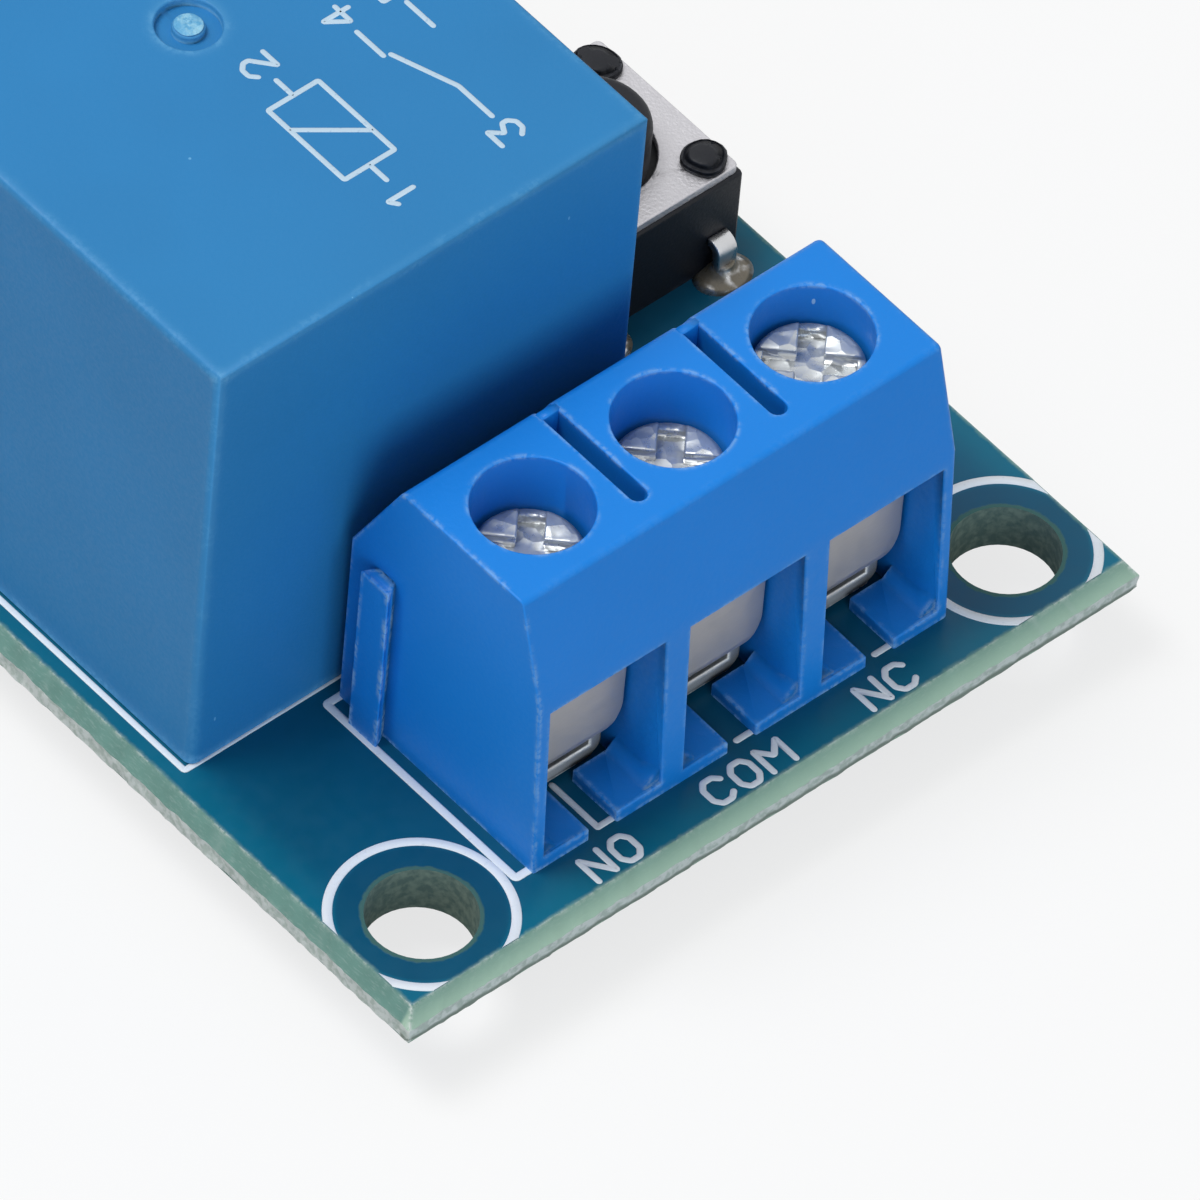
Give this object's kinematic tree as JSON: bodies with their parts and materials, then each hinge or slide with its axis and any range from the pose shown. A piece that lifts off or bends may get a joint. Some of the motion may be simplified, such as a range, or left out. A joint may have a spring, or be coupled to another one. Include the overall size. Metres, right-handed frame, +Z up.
{
  "type": "relay module",
  "caption": "Small circuit board with a sealed blue changeover relay, a blue screw terminal with rising wire clamps, a push button and a pin header.",
  "frame": {"origin": "middle of the four mounting holes, on the underside of the board", "axes": "+X along the terminal row, +Y from the screw terminal towards the input header, +Z up"},
  "size_m": [0.0268, 0.0508, 0.0195],
  "materials": {
    "solder_mask": "glossy teal mask over glass fibre",
    "solder": "bright solder",
    "relay_plastic": "satin blue",
    "terminal_plastic": "satin blue",
    "black_plastic": "matt black",
    "copper_wire": "enamelled copper",
    "bare_iron": "plated iron",
    "tinned_metal": "tin plate",
    "zinc_steel": "bright zinc",
    "contact_brass": "satin",
    "contact_silver": "satin silver",
    "gilt_pins": "thin gold plate",
    "lamp_lens": "clear red",
    "lamp_base": "white"
  },
  "bodies": {
    "module": {"circuit_board": "solder_mask", "solder_joints": "solder", "relay_cover": "relay_plastic", "relay_base": "relay_plastic", "coil_bobbin": "black_plastic", "coil_winding": "copper_wire", "coil_core": "bare_iron", "coil_pins": "tinned_metal", "relay_yoke": "bare_iron", "closed_contact": "contact_brass", "open_contact": "contact_brass", "common_pin": "contact_brass", "terminal_housing": "terminal_plastic", "button_base": "black_plastic", "button_plate": "zinc_steel", "button_dome": "zinc_steel", "button_legs": "tinned_metal", "header_body": "black_plastic", "header_pins": "gilt_pins", "latch_chip": "black_plastic", "latch_chip_leads": "tinned_metal", "driver_transistor": "black_plastic", "driver_transistor_leads": "tinned_metal", "flyback_diode": "black_plastic", "flyback_diode_tabs": "tinned_metal", "chip_resistors": "black_plastic", "chip_end_caps": "tinned_metal", "status_led": "lamp_lens", "status_led_base": "lamp_base", "terminal_contact_1": "tinned_metal", "terminal_contact_2": "tinned_metal", "terminal_contact_3": "tinned_metal"},
    "armature": {"relay_armature": "bare_iron", "contact_spring": "contact_brass", "moving_contact": "contact_silver"},
    "plunger": {"button_plunger": "black_plastic"},
    "screw_1": {"terminal_screw_1": "zinc_steel"},
    "cage_1": {"clamp_cage_1": "zinc_steel"},
    "screw_2": {"terminal_screw_2": "zinc_steel"},
    "cage_2": {"clamp_cage_2": "zinc_steel"},
    "screw_3": {"terminal_screw_3": "zinc_steel"},
    "cage_3": {"clamp_cage_3": "zinc_steel"}
  },
  "joints": [
    {"name": "armature_pull", "type": "hinge", "parent": "module", "child": "armature", "pos_m": [-0.00455, 0.00235, 0.0129], "axis": [1, 0, 0], "range_deg": [0, 2], "stiffness_Nm_per_rad": 0.02, "springref_deg": -2.86},
    {"name": "button_press", "type": "slide", "parent": "module", "child": "plunger", "axis": [0, 0, -1], "range_m": [0, 0.00025], "stiffness_N_per_m": 400, "springref_m": -0.0005},
    {"name": "screw_turn_1", "type": "hinge", "parent": "module", "child": "screw_1", "pos_m": [-0.00482, -0.01969, 0.009], "axis": [0, 0, -1], "range_deg": [0, 540]},
    {"name": "cage_slide_1", "type": "slide", "parent": "module", "child": "cage_1", "axis": [0, 0, 1], "range_m": [0, 0.00075]},
    {"name": "screw_turn_2", "type": "hinge", "parent": "module", "child": "screw_2", "pos_m": [0.00026, -0.01969, 0.009], "axis": [0, 0, -1], "range_deg": [0, 540]},
    {"name": "cage_slide_2", "type": "slide", "parent": "module", "child": "cage_2", "axis": [0, 0, 1], "range_m": [0, 0.00075]},
    {"name": "screw_turn_3", "type": "hinge", "parent": "module", "child": "screw_3", "pos_m": [0.00534, -0.01969, 0.009], "axis": [0, 0, -1], "range_deg": [0, 540]},
    {"name": "cage_slide_3", "type": "slide", "parent": "module", "child": "cage_3", "axis": [0, 0, 1], "range_m": [0, 0.00075]}
  ],
  "couplings": [
    {"joint": "screw_turn_1", "follows": "cage_slide_1", "rad_per_m": 12566},
    {"joint": "screw_turn_2", "follows": "cage_slide_2", "rad_per_m": 12566},
    {"joint": "screw_turn_3", "follows": "cage_slide_3", "rad_per_m": 12566}
  ]
}
